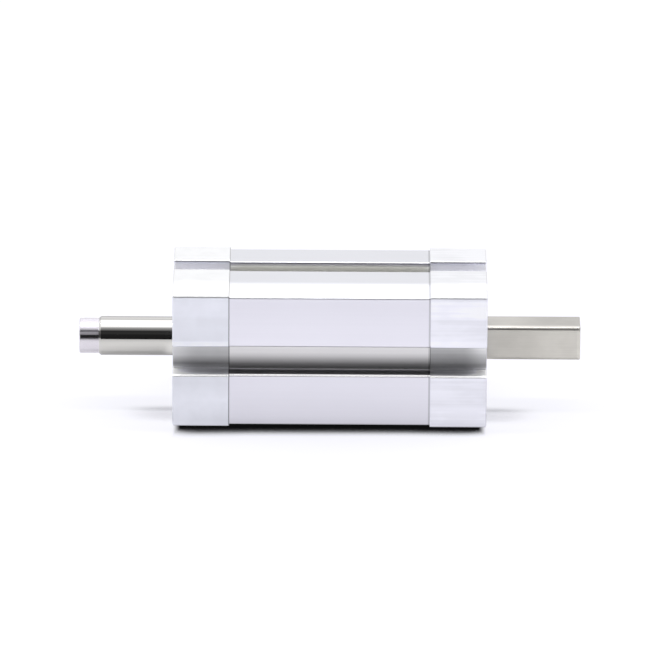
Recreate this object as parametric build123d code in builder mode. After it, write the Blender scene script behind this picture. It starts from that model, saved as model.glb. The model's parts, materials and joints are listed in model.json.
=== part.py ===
from build123d import *
import os

# A compact double rod pneumatic cylinder at its real size, in millimetres.
# The origin is on the rod axis, midway between the end caps, with the piston at mid stroke.
# +X runs along the rods to the square rod, -Y is the front with the centred channel, +Z is up.

# Barrel and end caps
bore = 20.0
stroke = 35.0
barrel_side = 34.7
cap_side = 35.5
cap_length = 14.5
edge_radius = 0.45
cap_end_bevel = 0.3
joint_bevel = 0.12

# Channels along three sides for position switches
channel_floor = 13.2
front_channel_width = 7.65
side_channel_width = 6.1
side_channel_offset = 4.95
channel_lip_radius = 0.6
channel_root_radius = 0.45

# Spigot of each cap and its O-ring
spigot_length = 2.0
spigot_clearance = 0.05
o_ring_section = 1.2
gland_slack = 0.05

# Corner screws, hollow at the head, where their inner thread takes a mounting screw
screw_spacing = 22.0
screw_recess = 0.5
screw_head_radius = 3.1
screw_head_length = 8.0
screw_shank_radius = 2.5
screw_grip = 10.0
screw_drill_tip = 2.0
screw_clearance = 0.1
screw_thread_clearance = 0.02
mount_thread_radius = 2.1
mount_thread_length = 6.4
mount_thread_bevel = 0.35
hex_socket_size = 3.0
hex_socket_depth = 1.4

# Air ports in the back of the caps
port_radius = 2.1
port_depth = 6.2
port_bevel = 0.45
pilot_radius = 1.0
passage_radius = 0.8

# Rods
rod_radius = 5.0
rod_end_radius = 4.5
rod_end_length = 4.9
rod_end_cone = 0.6
rod_tip_bevel = 0.2
square_rod_side = 9.0
square_rod_corner = 1.1
rod_reach = 24.0
rod_thread_radius = 2.5
rod_thread_depth = 12.0
rod_thread_mouth = 3.05
rod_thread_mouth_angle = 90.0
stud_radius = 3.0
stud_grip = 8.0
stud_bevel = 0.5
stud_hole_spare = 1.0
stud_thread_clearance = 0.02
stud_clearance = 0.05

# Guide bushes, rod seals and the washers that keep the seals in
bush_radius = 7.0
bush_shoulder = 0.2
bush_bevel = 0.3
press_clearance = 0.01
running_clearance = 0.03
seal_clearance = 0.02
seal_step = 0.6
seal_length = 3.1
seal_slack = 0.1
seal_lip_width = 0.7
seal_waist = 0.35
seal_groove_width = 0.7
seal_groove_depth = 1.4
washer_recess = 0.5
washer_thickness = 1.1
washer_fit = 0.05
rod_hole_clearance = 0.4

# Bumpers that stop the piston
bumper_edge = 0.9
bumper_land = 0.4
bumper_seat = 1.2
bumper_proud = 0.75
bumper_slot = 2.2
bumper_clearance = 0.05
end_gap = 0.05

# Piston
piston_length = 10.6
piston_clearance = 0.3
piston_bevel = 0.4
piston_seal_inset = 0.8
piston_seal_width = 2.2
piston_seal_depth = 2.3
piston_seal_slack = 0.1
piston_seal_tip = 0.35
piston_seal_heel = 0.15
piston_seal_wall = 0.55
magnet_width = 3.1
magnet_inner_radius = 6.0
magnet_outer_radius = 8.0
magnet_slack = 0.05
guide_ring_clearance = 0.05
stud_ring_section = 1.5
stud_ring_slack = 0.05

# Places along the axis
spigot_reach = spigot_length + bumper_proud + end_gap
barrel_length = stroke + piston_length + 2 * spigot_reach
joint_x = barrel_length / 2
face_x = joint_x + cap_length
spigot_x = joint_x - spigot_length
rod_tip_x = face_x + rod_reach
piston_x = piston_length / 2
stud_tip_x = piston_x + stud_grip
port_x = joint_x + cap_length / 2
washer_x = face_x - washer_recess
seal_x = washer_x - washer_thickness - seal_slack / 2
pocket_x = seal_x - seal_length - seal_slack / 2
bush_end_x = joint_x + bush_shoulder
bush_length = pocket_x - bush_end_x
screw_top_x = face_x - screw_recess
screw_seat_x = screw_top_x - screw_head_length
screw_tip_x = joint_x - screw_grip

# Radii that follow from the bore, the rods and the bushes
bore_radius = bore / 2
spigot_radius = bore_radius - spigot_clearance
gland_radius = spigot_radius + o_ring_section + gland_slack
gland_depth = o_ring_section + gland_slack
piston_radius = bore_radius - piston_clearance
pocket_radius = bush_radius + seal_step
square_hole_side = square_rod_side + 2 * running_clearance
square_hole_corner = square_rod_corner + running_clearance
square_half_diagonal = (square_rod_side / 2 - square_rod_corner) * 2**0.5 + square_rod_corner
round_rod_hole = rod_radius + rod_hole_clearance
square_rod_hole = square_half_diagonal + rod_hole_clearance
bumper_outer = bore_radius - bumper_edge
bumper_inner = bush_radius + bumper_land
passage_y = (bumper_outer + bumper_inner) / 2

# Faces that holes are drilled from, each with its normal out of the metal
left_face = Plane(origin=(-face_x, 0, 0), x_dir=(0, 1, 0), z_dir=(-1, 0, 0))
left_joint = Plane(origin=(-joint_x, 0, 0), x_dir=(0, 1, 0), z_dir=(-1, 0, 0))
left_spigot_face = Plane.YZ.offset(-spigot_x)
right_joint = Plane.YZ.offset(joint_x)
back_face = Plane(origin=(0, cap_side / 2, 0), x_dir=(1, 0, 0), z_dir=(0, 1, 0))


def profile(side):
    """A rounded square outline with three open channels; its local x is the part's Y."""
    depth = side / 2 - channel_floor
    with BuildSketch() as outline:
        Rectangle(side, side)
        with Locations((-side / 2, 0)):
            Rectangle(2 * depth, front_channel_width, mode=Mode.SUBTRACT)
        with Locations((side_channel_offset, side / 2), (side_channel_offset, -side / 2)):
            Rectangle(side_channel_width, 2 * depth, mode=Mode.SUBTRACT)
        halfway_in = side / 2 - depth / 2
        corners = outline.vertices().filter_by(lambda v: min(abs(v.X), abs(v.Y)) > halfway_in)
        fillet(corners, edge_radius)
        lips = outline.vertices().filter_by(
            lambda v: max(abs(v.X), abs(v.Y)) > halfway_in > min(abs(v.X), abs(v.Y))
        )
        fillet(lips, channel_lip_radius)
        roots = outline.vertices().filter_by(
            lambda v: abs(max(abs(v.X), abs(v.Y)) - channel_floor) < channel_root_radius / 2
        )
        fillet(roots, channel_root_radius)
    return outline.sketch


def turned(points):
    """A turned piece: the closed outline of (x, radius) points, spun about the rod axis."""
    with BuildPart() as piece:
        with BuildSketch():
            with BuildLine():
                Polyline(*points, close=True)
            make_face()
        revolve(axis=Axis.X)
    return piece.part


def tube(start, length, inner, outer):
    """A plain ring about the rod axis from x = start, as long as length."""
    with BuildPart() as piece:
        with BuildSketch(Plane.YZ.offset(start)):
            Circle(outer)
            Circle(inner, mode=Mode.SUBTRACT)
        extrude(amount=length)
    return piece.part


def o_ring(x, inner, section):
    """A round-section ring about the rod axis, centred on x."""
    with BuildPart() as piece:
        with BuildSketch():
            with Locations((x, inner + section / 2)):
                Circle(section / 2)
        revolve(axis=Axis.X)
    return piece.part


def left_hand_cap(rod_hole):
    """An end cap as it stands at the left end, bored through its spigot to rod_hole."""
    with BuildPart() as blank:
        with BuildSketch(left_joint):
            add(profile(cap_side))
        extrude(amount=cap_length)
        outer_edges = blank.faces().sort_by(Axis.X)[0].outer_wire().edges()
        chamfer(outer_edges, cap_end_bevel)
        joint_edges = blank.faces().sort_by(Axis.X)[-1].outer_wire().edges()
        chamfer(joint_edges, joint_bevel)
        with BuildSketch(Plane.YZ.offset(-joint_x)):
            Circle(spigot_radius)
        extrude(amount=spigot_length)

        # Seal pocket, bush seat and rod hole, all bored from the outer face
        with Locations(left_face):
            Hole(pocket_radius, depth=face_x - pocket_x)
            Hole(bush_radius, depth=face_x - bush_end_x)
            Hole(rod_hole, depth=face_x - spigot_x)

        # Seat of the bumper in the spigot's face
        with BuildSketch(left_spigot_face):
            Circle(bumper_outer)
            Circle(bumper_inner, mode=Mode.SUBTRACT)
        extrude(amount=-bumper_seat, mode=Mode.SUBTRACT)

        # Corner holes for the screws
        with Locations(left_face):
            with GridLocations(screw_spacing, screw_spacing, 2, 2):
                CounterBoreHole(
                    screw_shank_radius + screw_clearance,
                    screw_head_radius + screw_clearance,
                    face_x - screw_seat_x,
                    depth=cap_length,
                )

        # Port from the back, and the passage from it to the bore
        with Locations(back_face):
            with Locations((-port_x, 0)):
                CounterBoreHole(
                    pilot_radius,
                    port_radius,
                    port_depth,
                    depth=cap_side / 2 - passage_y + passage_radius,
                )
        port_mouth = blank.edges().filter_by(GeomType.CIRCLE).sort_by(Axis.Y)[-1]
        chamfer(port_mouth, port_bevel)
        with Locations(left_spigot_face):
            with Locations((passage_y, 0)):
                Hole(passage_radius, depth=port_x - spigot_x)
    return blank.part


def square_ring(start, length, side, corner, outer):
    """A round ring with a round-cornered square hole, from x = start."""
    with BuildPart() as piece:
        with BuildSketch(Plane.YZ.offset(start)):
            Circle(outer)
            RectangleRounded(side, side, corner, mode=Mode.SUBTRACT)
        extrude(amount=length)
    return piece.part


# Barrel: a length of extruded profile, bored through, with a gland and four threads at each end
with BuildPart() as barrel:
    with BuildSketch(Plane.YZ.offset(-joint_x)):
        add(profile(barrel_side))
    extrude(amount=barrel_length)
    with BuildSketch(Plane.YZ.offset(-joint_x)):
        Circle(bore_radius)
    extrude(amount=barrel_length, mode=Mode.SUBTRACT)
    with Locations(left_joint, right_joint):
        Hole(gland_radius, depth=gland_depth)
        with GridLocations(screw_spacing, screw_spacing, 2, 2):
            Hole(screw_shank_radius + screw_thread_clearance, depth=screw_grip + screw_drill_tip)

# End caps, alike but for the hole that their rod runs through
with BuildPart() as left_cap:
    add(left_hand_cap(round_rod_hole))

with BuildPart() as right_cap:
    mirror(left_hand_cap(square_rod_hole), about=Plane.YZ)

# O-rings round the spigots, in the barrel's glands
with BuildPart() as left_cap_o_ring:
    add(o_ring(-joint_x + gland_depth / 2, spigot_radius + gland_slack / 2, o_ring_section))

with BuildPart() as right_cap_o_ring:
    mirror(left_cap_o_ring.part, about=Plane.YZ)

# Corner screws: a hollow head with an inner thread over a hex socket, and a threaded shank
with BuildPart() as left_cap_screws:
    with BuildSketch(Plane.YZ.offset(-screw_top_x)):
        with GridLocations(screw_spacing, screw_spacing, 2, 2):
            Circle(screw_head_radius)
    extrude(amount=screw_head_length)
    with BuildSketch(Plane.YZ.offset(-screw_seat_x)):
        with GridLocations(screw_spacing, screw_spacing, 2, 2):
            Circle(screw_shank_radius)
    extrude(amount=screw_seat_x - screw_tip_x)
    with BuildSketch(Plane.YZ.offset(-screw_top_x)):
        with GridLocations(screw_spacing, screw_spacing, 2, 2):
            Circle(mount_thread_radius)
    extrude(amount=mount_thread_length, mode=Mode.SUBTRACT)
    with BuildSketch(Plane.YZ.offset(mount_thread_length - screw_top_x)):
        with GridLocations(screw_spacing, screw_spacing, 2, 2):
            RegularPolygon(hex_socket_size / 2, 6, major_radius=False)
    extrude(amount=hex_socket_depth, mode=Mode.SUBTRACT)
    mouths = left_cap_screws.edges().filter_by(GeomType.CIRCLE).group_by(Axis.X)[0]
    chamfer(mouths, mount_thread_bevel)

with BuildPart() as right_cap_screws:
    mirror(left_cap_screws.part, about=Plane.YZ)

# Guide bushes: round for the round rod, square inside for the square one
with BuildPart() as left_guide_bush:
    add(tube(-pocket_x, bush_length, rod_radius + running_clearance, bush_radius - press_clearance))
    chamfer(left_guide_bush.edges().filter_by(GeomType.CIRCLE), bush_bevel)

with BuildPart() as right_guide_bush:
    add(
        square_ring(
            bush_end_x,
            bush_length,
            square_hole_side,
            square_hole_corner,
            bush_radius - press_clearance,
        )
    )
    rim_edges = right_guide_bush.edges().filter_by(GeomType.CIRCLE)
    outer_rims = rim_edges.filter_by(lambda e: e.radius > square_rod_side / 2)
    chamfer(outer_rims, bush_bevel)

# Rod seal of the round rod: a wiper lip outwards, a pressure lip and its groove inwards
seal_outer = pocket_radius - seal_clearance
seal_inner = rod_radius + seal_clearance
seal_notch = (seal_outer + seal_inner) / 2
with BuildPart() as left_rod_seal:
    add(
        turned(
            [
                (-seal_x, seal_outer),
                (-seal_x + seal_length, seal_outer),
                (-seal_x + seal_length, seal_notch + seal_groove_width / 2),
                (-seal_x + seal_length - seal_groove_depth, seal_notch),
                (-seal_x + seal_length, seal_notch - seal_groove_width / 2),
                (-seal_x + seal_length, seal_inner),
                (-seal_x + seal_length - seal_lip_width, seal_inner + seal_waist),
                (-seal_x + seal_lip_width, seal_inner + seal_waist),
                (-seal_x, seal_inner),
            ]
        )
    )

# Rod seal of the square rod, with the same groove on its pressure side
with BuildPart() as right_rod_seal:
    add(
        square_ring(
            seal_x - seal_length,
            seal_length,
            square_rod_side + 2 * seal_clearance,
            square_rod_corner + seal_clearance,
            seal_outer,
        )
    )
    with BuildSketch(Plane.YZ.offset(seal_x - seal_length)):
        Circle((seal_outer + square_half_diagonal + seal_groove_width) / 2)
        Circle((seal_outer + square_half_diagonal) / 2, mode=Mode.SUBTRACT)
    extrude(amount=seal_groove_depth, mode=Mode.SUBTRACT)

# Washers pressed in over the seals
with BuildPart() as left_seal_washer:
    add(tube(-washer_x, washer_thickness, round_rod_hole, pocket_radius - washer_fit))

with BuildPart() as right_seal_washer:
    add(
        tube(
            washer_x - washer_thickness,
            washer_thickness,
            square_rod_hole,
            pocket_radius - washer_fit,
        )
    )

# Bumpers in the spigot faces, slotted where the air comes out
with BuildPart() as left_bumper:
    add(
        tube(
            -spigot_x - bumper_seat,
            bumper_seat + bumper_proud,
            bumper_inner + bumper_clearance,
            bumper_outer - bumper_clearance,
        )
    )
    with BuildSketch(Plane.YZ.offset(-spigot_x - bumper_seat)):
        with Locations((bumper_outer, 0)):
            Rectangle(bumper_outer, bumper_slot)
    extrude(amount=bumper_seat + bumper_proud, mode=Mode.SUBTRACT)

with BuildPart() as right_bumper:
    mirror(left_bumper.part, about=Plane.YZ)

# Round rod: ground shaft with a turned-down end, and a stud that holds the piston
with BuildPart() as round_rod:
    add(
        turned(
            [
                (stud_tip_x, 0),
                (stud_tip_x, stud_radius - stud_bevel),
                (stud_tip_x - stud_bevel, stud_radius),
                (-piston_x, stud_radius),
                (-piston_x, rod_radius),
                (-rod_tip_x + rod_end_length + rod_end_cone, rod_radius),
                (-rod_tip_x + rod_end_length, rod_end_radius),
                (-rod_tip_x + rod_tip_bevel, rod_end_radius),
                (-rod_tip_x, rod_end_radius - rod_tip_bevel),
                (-rod_tip_x, 0),
            ]
        )
    )
    with Locations(Plane(origin=(-rod_tip_x, 0, 0), x_dir=(0, 1, 0), z_dir=(-1, 0, 0))):
        CounterSinkHole(
            rod_thread_radius,
            rod_thread_mouth,
            depth=rod_thread_depth,
            counter_sink_angle=rod_thread_mouth_angle,
        )

# Square rod: screwed onto the stud, with a thread in its outer end
with BuildPart() as square_rod:
    with BuildSketch(Plane.YZ.offset(piston_x)):
        RectangleRounded(square_rod_side, square_rod_side, square_rod_corner)
    extrude(amount=rod_tip_x - piston_x)
    chamfer(square_rod.faces().sort_by(Axis.X)[-1].outer_wire().edges(), rod_tip_bevel)
    with Locations(Plane.YZ.offset(rod_tip_x)):
        CounterSinkHole(
            rod_thread_radius,
            rod_thread_mouth,
            depth=rod_thread_depth,
            counter_sink_angle=rod_thread_mouth_angle,
        )
    with BuildSketch(Plane.YZ.offset(piston_x)):
        Circle(stud_radius + stud_thread_clearance)
    extrude(amount=stud_grip + stud_hole_spare, mode=Mode.SUBTRACT)

# Piston halves: mirror images with a seal groove each, clamped together round the magnet
groove_start = -piston_x + piston_seal_inset
groove_end = groove_start + piston_seal_width
groove_floor = piston_radius - piston_seal_depth
hub_radius = magnet_inner_radius - magnet_slack
hub_start = -magnet_width / 2 - magnet_slack
piston_half = turned(
    [
        (-piston_x, stud_radius + stud_clearance),
        (-piston_x, piston_radius - piston_bevel),
        (-piston_x + piston_bevel, piston_radius),
        (groove_start, piston_radius),
        (groove_start, groove_floor),
        (groove_end, groove_floor),
        (groove_end, piston_radius),
        (hub_start, piston_radius),
        (hub_start, hub_radius),
        (0, hub_radius),
        (0, stud_radius + stud_clearance),
    ]
)
with BuildPart() as left_piston_half:
    add(piston_half)
    with BuildSketch(Plane.YZ.offset(-piston_x)):
        Circle(stud_radius + stud_ring_section + 2 * stud_ring_slack)
    extrude(amount=stud_ring_section + stud_ring_slack, mode=Mode.SUBTRACT)

with BuildPart() as right_piston_half:
    mirror(piston_half, about=Plane.YZ)

# Lip seals of the piston, each opening towards its own chamber
lip_radius = bore_radius - running_clearance
lip_start = groove_start + piston_seal_slack
lip_end = groove_end - piston_seal_slack
lip_floor = groove_floor + piston_seal_slack / 2
with BuildPart() as left_piston_seal:
    add(
        turned(
            [
                (lip_end, lip_floor),
                (lip_end, piston_radius - piston_seal_heel),
                (lip_start + piston_seal_tip, lip_radius),
                (lip_start, lip_radius),
                (lip_start, lip_radius - piston_seal_tip),
                (lip_end - piston_seal_wall, (lip_radius + lip_floor) / 2),
                (lip_start, lip_floor + piston_seal_wall),
                (lip_start, lip_floor),
            ]
        )
    )

with BuildPart() as right_piston_seal:
    mirror(left_piston_seal.part, about=Plane.YZ)

# Magnet ring for the position switches, and the guide ring round it
with BuildPart() as magnet_ring:
    add(tube(-magnet_width / 2, magnet_width, magnet_inner_radius, magnet_outer_radius))

with BuildPart() as piston_guide_ring:
    add(
        tube(
            -magnet_width / 2,
            magnet_width,
            magnet_outer_radius + magnet_slack,
            bore_radius - guide_ring_clearance,
        )
    )

# O-ring round the stud, in the piston's left face
with BuildPart() as stud_o_ring:
    add(
        o_ring(
            -piston_x + (stud_ring_section + stud_ring_slack) / 2,
            stud_radius + stud_ring_slack,
            stud_ring_section,
        )
    )

pieces = {
    "barrel": barrel,
    "left_cap": left_cap,
    "right_cap": right_cap,
    "left_cap_o_ring": left_cap_o_ring,
    "right_cap_o_ring": right_cap_o_ring,
    "left_cap_screws": left_cap_screws,
    "right_cap_screws": right_cap_screws,
    "left_guide_bush": left_guide_bush,
    "right_guide_bush": right_guide_bush,
    "left_rod_seal": left_rod_seal,
    "right_rod_seal": right_rod_seal,
    "left_seal_washer": left_seal_washer,
    "right_seal_washer": right_seal_washer,
    "left_bumper": left_bumper,
    "right_bumper": right_bumper,
    "round_rod": round_rod,
    "square_rod": square_rod,
    "left_piston_half": left_piston_half,
    "right_piston_half": right_piston_half,
    "left_piston_seal": left_piston_seal,
    "right_piston_seal": right_piston_seal,
    "magnet_ring": magnet_ring,
    "piston_guide_ring": piston_guide_ring,
    "stud_o_ring": stud_o_ring,
}
os.makedirs("parts", exist_ok=True)
for name, piece in pieces.items():
    piece.part.label = name
    export_step(piece.part, f"parts/{name}.step")
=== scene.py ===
import json
import math

import bpy
import numpy as np
from bpy.props import FloatProperty, FloatVectorProperty, IntProperty, PointerProperty
from mathutils import Matrix, Vector


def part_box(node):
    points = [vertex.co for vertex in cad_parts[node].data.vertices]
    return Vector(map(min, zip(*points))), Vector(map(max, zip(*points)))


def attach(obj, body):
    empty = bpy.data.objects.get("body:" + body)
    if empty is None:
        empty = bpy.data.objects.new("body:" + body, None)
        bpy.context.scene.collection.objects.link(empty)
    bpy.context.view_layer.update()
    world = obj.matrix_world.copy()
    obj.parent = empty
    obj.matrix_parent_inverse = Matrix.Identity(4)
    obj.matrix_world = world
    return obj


bl_info = {
    "name": "Double Rod Cylinder Finish",
    "version": (1, 0, 0),
    "blender": (4, 5, 0),
    "location": "3D View > Sidebar > Cylinder",
    "description": "Finishes a double rod pneumatic cylinder and sets up its studio",
    "category": "Object",
}

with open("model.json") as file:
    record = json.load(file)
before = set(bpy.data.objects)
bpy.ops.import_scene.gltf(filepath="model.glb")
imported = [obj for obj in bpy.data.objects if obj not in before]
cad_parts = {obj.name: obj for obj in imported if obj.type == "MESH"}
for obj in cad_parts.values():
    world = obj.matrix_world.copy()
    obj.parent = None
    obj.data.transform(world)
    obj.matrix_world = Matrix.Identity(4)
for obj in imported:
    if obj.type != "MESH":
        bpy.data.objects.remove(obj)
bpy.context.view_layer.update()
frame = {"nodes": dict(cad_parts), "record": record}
nodes = frame["nodes"]

MM = 0.001
TURN = 2 * math.pi

# Places that the frame gives, in metres
BARREL_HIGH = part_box("barrel")[1]
CAP_LOW, CAP_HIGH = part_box("left_cap")
ROUND_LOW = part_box("round_rod")[0]
SQUARE_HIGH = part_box("square_rod")[1]
MOUNTS = {mount["name"]: mount for mount in frame["record"]["mounts"]}
FACE_X = -CAP_LOW.x
JOINT_X = BARREL_HIGH.x
FLOOR_Z = CAP_LOW.z

# The photograph's picture: its width and the middle of the rod axis in pixels, and its scale
PICTURE = 665
AXIS_PIXEL = (329.85, 336.75)
PIXELS_A_METRE = 3901.0

# The profile along Y and Z, in metres: each is where a form starts and ends
GROOVE_Z = (12 * MM, 12.5 * MM)
LIP_Z = (-4.15 * MM, -3.7 * MM)
LIP_FOOT_Z = (-4.17 * MM, -4.15 * MM)
LEDGE_Z = (-4 * MM, -3.7 * MM)
# BAND_Y: the band along the top's front, rougher, and lightened by a painted highlight
BAND_Y = (-9.2 * MM, -5.6 * MM)
# Depth of the bumps that turn the lips towards the light, at their foot and at their head
LIP_FOOT = 0.06 * MM
LIP_HEAD = 0.33 * MM
# The round rod, in metres: its turned end and the cone behind it, as distances from its end,
# and a radius that its thread stays inside
TURNED_END = 5 * MM
CONE_X = (4.85 * MM, 5.5 * MM)
HOLLOW_RADIUS = 4.2 * MM

# Painted light and shade on a face along Z: from the bottom up, each stop is (Z in mm, factor)
BARREL_FRONT = (
    (-16.5, 0.96), (-11.5, 1.0), (-9, 1.02), (-5, 1.03), (5, 1.1), (6, 1.085), (11.5, 1.06),
    (14, 1.03),
)
# In the top groove the stops paint light on its walls
BARREL_GROOVE = (
    (15, 0.82), (15.5, 0.97), (15.85, 1.1), (15.98, 1.27), (16.14, 1.27), (16.3, 1.05), (17.3, 1.3),
)
# In the channels the stops paint shade, darkest low on the back wall
BARREL_CHANNEL = (
    (-3.8, 0.34), (-3.74, 0.9), (-3.56, 1.0), (-3.4, 0.4), (-2.9, 0.3), (-2.3, 0.31), (-1.8, 0.4),
    (-1.25, 0.52), (-0.7, 0.65), (-0.15, 0.81), (0.4, 0.91), (0.9, 1.0), (3, 1.03),
)
LEFT_CAP_FRONT = (
    (-17.5, 1.1), (-16, 1.04), (-12, 1.1), (-10.5, 1.12), (-6, 1.01), (-4.5, 1.01), (6.5, 1.05),
    (11.5, 1.085), (12.5, 1.12), (16, 1.125), (17, 1.09),
)
LEFT_CAP_CHANNEL = (
    (-3.8, 0.95), (-3.55, 1.1), (-3.2, 0.65), (-2.9, 0.45), (-2.3, 0.28), (-1.8, 0.34), (-0.7, 0.5),
    (0, 0.62), (1, 0.65), (2.1, 0.73),
)
RIGHT_CAP_FRONT = (
    (-16, 1.0), (-12.6, 1.055), (-11, 0.945), (-8, 0.985), (-6, 0.945), (-4.6, 0.99), (5.2, 1.1),
    (7, 0.99), (11.5, 0.98), (12.2, 1.07), (16.4, 1.06), (17, 0.92),
)
RIGHT_CAP_CHANNEL = (
    (-3.8, 0.9), (-3.5, 0.75), (-2.9, 0.34), (-2.3, 0.28), (-1.8, 0.32), (-0.7, 0.37), (0.4, 0.46),
    (1, 0.55), (1.5, 0.57), (2.1, 0.67),
)

# Painted reflections round the rod: each stop is (degrees up from the front, factor)
CHROME_ROUND = (
    (-180, 0.95), (-110, 0.9), (-65, 0.5), (-54, 0.5), (-46, 0.82), (-30, 1.08), (-18, 1.12),
    (-8, 1.1), (0, 1.03), (8, 0.85), (12, 0.55), (18, 0.65), (21, 0.58), (24, 0.8), (28, 1.35),
    (33, 1.05), (60, 1.05), (64, 1.35), (74, 1.35), (76, 0.88), (80, 0.88), (83, 1.15),
    (95, 1.1), (110, 0.95), (180, 0.95),
)
TURNED_ROUND = (
    (-180, 1.1), (-100, 1.0), (-60, 1.02), (-30, 1.12), (-12, 1.07), (0, 1.0), (5, 0.88),
    (9, 0.5), (12, 0.4), (21, 0.5), (24.5, 1.15), (33, 1.2), (34.5, 0.7), (36.5, 0.8),
    (39, 1.25), (44, 1.28), (52, 1.0), (62, 1.1), (80, 1.2), (110, 1.1), (180, 1.1),
)

# Painted light and shade on the square rod's front and top along X: each stop is (X in mm, factor)
STEEL_FRONT = ((40, 0.9), (46, 0.92), (53, 1.02), (58, 1.1), (63.2, 1.1), (63.4, 1.2))
STEEL_TOP = ((40, 0.98), (47, 0.95), (55, 0.83))

# Lean is y / z of a direction: 0 is the zenith, and the camera's side is negative.
# The soft light and its strip: (lean where it starts, is full, starts to fall, ends)
BOX_LEAN = (0.02, 0.06, 0.7, 0.9)
STRIP_LEAN = (0.05, 0.1, 0.14, 0.16)
# How light the glow in front of the overhead light is: each stop is (lean, share)
GLOW = ((-0.9, 0.0), (-0.7, 0.1), (-0.42, 0.28), (-0.3, 0.65), (-0.2, 1.0))
# How light the room in front of the part is, and at its sides where metal mirrors it
ROOM_FRONT = 0.03
ROOM_SIDES = 0.45

# Shares of the floor that the camera sees as even white: near it, further off, under the rods
EVEN_NEAR = 0.7
EVEN_FAR = 0.85
EVEN_UNDER_RODS = 0.38
# The rods' shadow on the floor: where it is darkest along Y, and how far it runs along X from
# the caps, in metres
SHADOW_Y = (-10.8 * MM, -7.3 * MM)
SHADOW_X = (2 * MM, 17 * MM)
# How light the contact shadow is behind the part
CONTACT_BACK = 0.25
# Half the floor's side, in metres
FLOOR_HALF = 6.0

# Threads: their depth as a share of the pitch, and the length of those in the cap screws
THREAD_DEPTH = 0.3
SCREW_THREAD = 5.6 * MM


# Property groups: what a user would change


class BarrelFinish(bpy.types.PropertyGroup):
    """The clear anodised barrel."""

    tint: FloatVectorProperty(
        name="Tint",
        description="Colour of the anodised extrusion",
        subtype="COLOR",
        min=0,
        max=1,
        default=(0.72, 0.71, 0.80),
    )
    # The channel, groove and top tints are lit and shaded copies of one anodising: painted light
    channel_tint: FloatVectorProperty(
        name="Channel tint",
        description="Colour of the walls of the barrel's channels",
        subtype="COLOR",
        min=0,
        max=1,
        default=(0.78, 0.77, 0.80),
    )
    groove_tint: FloatVectorProperty(
        name="Groove tint",
        description="Colour of the walls of the channel in the barrel's top",
        subtype="COLOR",
        min=0,
        max=1,
        default=(0.80, 0.80, 0.774),
    )
    top_tint: FloatVectorProperty(
        name="Top tint",
        description="Colour of the extrusion's top face",
        subtype="COLOR",
        min=0,
        max=1,
        default=(0.72, 0.725, 0.77),
    )
    roughness: FloatProperty(
        name="Roughness",
        description="Width of the barrel's reflections",
        min=0,
        max=1,
        default=0.27,
    )
    line_pitch: FloatProperty(
        name="Die line pitch",
        description="Mean distance between the lines that the die left along the barrel",
        unit="LENGTH",
        default=0.5 * MM,
    )


class CapFinish(bpy.types.PropertyGroup):
    """The two end caps, one matte and one with lines along it."""

    left_tint: FloatVectorProperty(
        name="Left cap tint",
        description="Colour of the matte left cap",
        subtype="COLOR",
        min=0,
        max=1,
        default=(0.79, 0.80, 0.89),
    )
    # The top tints are the caps' anodising as lit on the top: painted light
    left_top_tint: FloatVectorProperty(
        name="Left cap top tint",
        description="Colour of the left cap's top face",
        subtype="COLOR",
        min=0,
        max=1,
        default=(0.86, 0.865, 0.88),
    )
    right_tint: FloatVectorProperty(
        name="Right cap tint",
        description="Colour of the lined right cap",
        subtype="COLOR",
        min=0,
        max=1,
        default=(0.88, 0.88, 0.98),
    )
    right_top_tint: FloatVectorProperty(
        name="Right cap top tint",
        description="Colour of the right cap's top face",
        subtype="COLOR",
        min=0,
        max=1,
        default=(0.86, 0.865, 0.9),
    )
    # The channel tint is the caps' anodising as shaded in the channels: painted shade
    channel_tint: FloatVectorProperty(
        name="Cap channel tint",
        description="Colour of the walls of the caps' channels",
        subtype="COLOR",
        min=0,
        max=1,
        default=(0.80, 0.80, 0.835),
    )
    left_roughness: FloatProperty(
        name="Left cap roughness",
        description="Width of the left cap's reflections",
        min=0,
        max=1,
        default=0.42,
    )
    right_roughness: FloatProperty(
        name="Right cap roughness",
        description="Width of the right cap's reflections",
        min=0,
        max=1,
        default=0.36,
    )
    line_pitch: FloatProperty(
        name="Line pitch",
        description="Mean distance between the lines along the right cap",
        unit="LENGTH",
        default=0.9 * MM,
    )


class RodFinish(bpy.types.PropertyGroup):
    """The chromed round rod and the ground square rod."""

    chrome_tint: FloatVectorProperty(
        name="Chrome tint",
        description="Colour of the hard chrome",
        subtype="COLOR",
        min=0,
        max=1,
        default=(0.62, 0.61, 0.60),
    )
    turned_tint: FloatVectorProperty(
        name="Turned end tint",
        description="Colour of the round rod's turned end",
        subtype="COLOR",
        min=0,
        max=1,
        default=(0.74, 0.71, 0.78),
    )
    edge_tint: FloatVectorProperty(
        name="Chrome edge tint",
        description="Colour of the chrome at a grazing angle",
        subtype="COLOR",
        min=0,
        max=1,
        default=(0.72, 0.72, 0.73),
    )
    steel_tint: FloatVectorProperty(
        name="Steel tint",
        description="Colour of the ground square rod",
        subtype="COLOR",
        min=0,
        max=1,
        default=(0.62, 0.60, 0.57),
    )
    chrome_roughness: FloatProperty(
        name="Chrome roughness",
        description="Width of the chrome's reflections",
        min=0,
        max=1,
        default=0.06,
    )
    steel_roughness: FloatProperty(
        name="Steel roughness",
        description="Width of the ground steel's reflections",
        min=0,
        max=1,
        default=0.28,
    )


class ThreadSizes(bpy.types.PropertyGroup):
    """The inner threads that are open to view."""

    rod_pitch: FloatProperty(
        name="Rod thread pitch",
        description="Pitch of the threads in the rod ends",
        unit="LENGTH",
        default=1.0 * MM,
    )
    small_pitch: FloatProperty(
        name="Port thread pitch",
        description="Pitch of the threads in the ports and in the cap screws",
        unit="LENGTH",
        default=0.8 * MM,
    )
    steps: IntProperty(
        name="Steps round",
        description="Points round each thread",
        min=12,
        default=40,
    )


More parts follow.
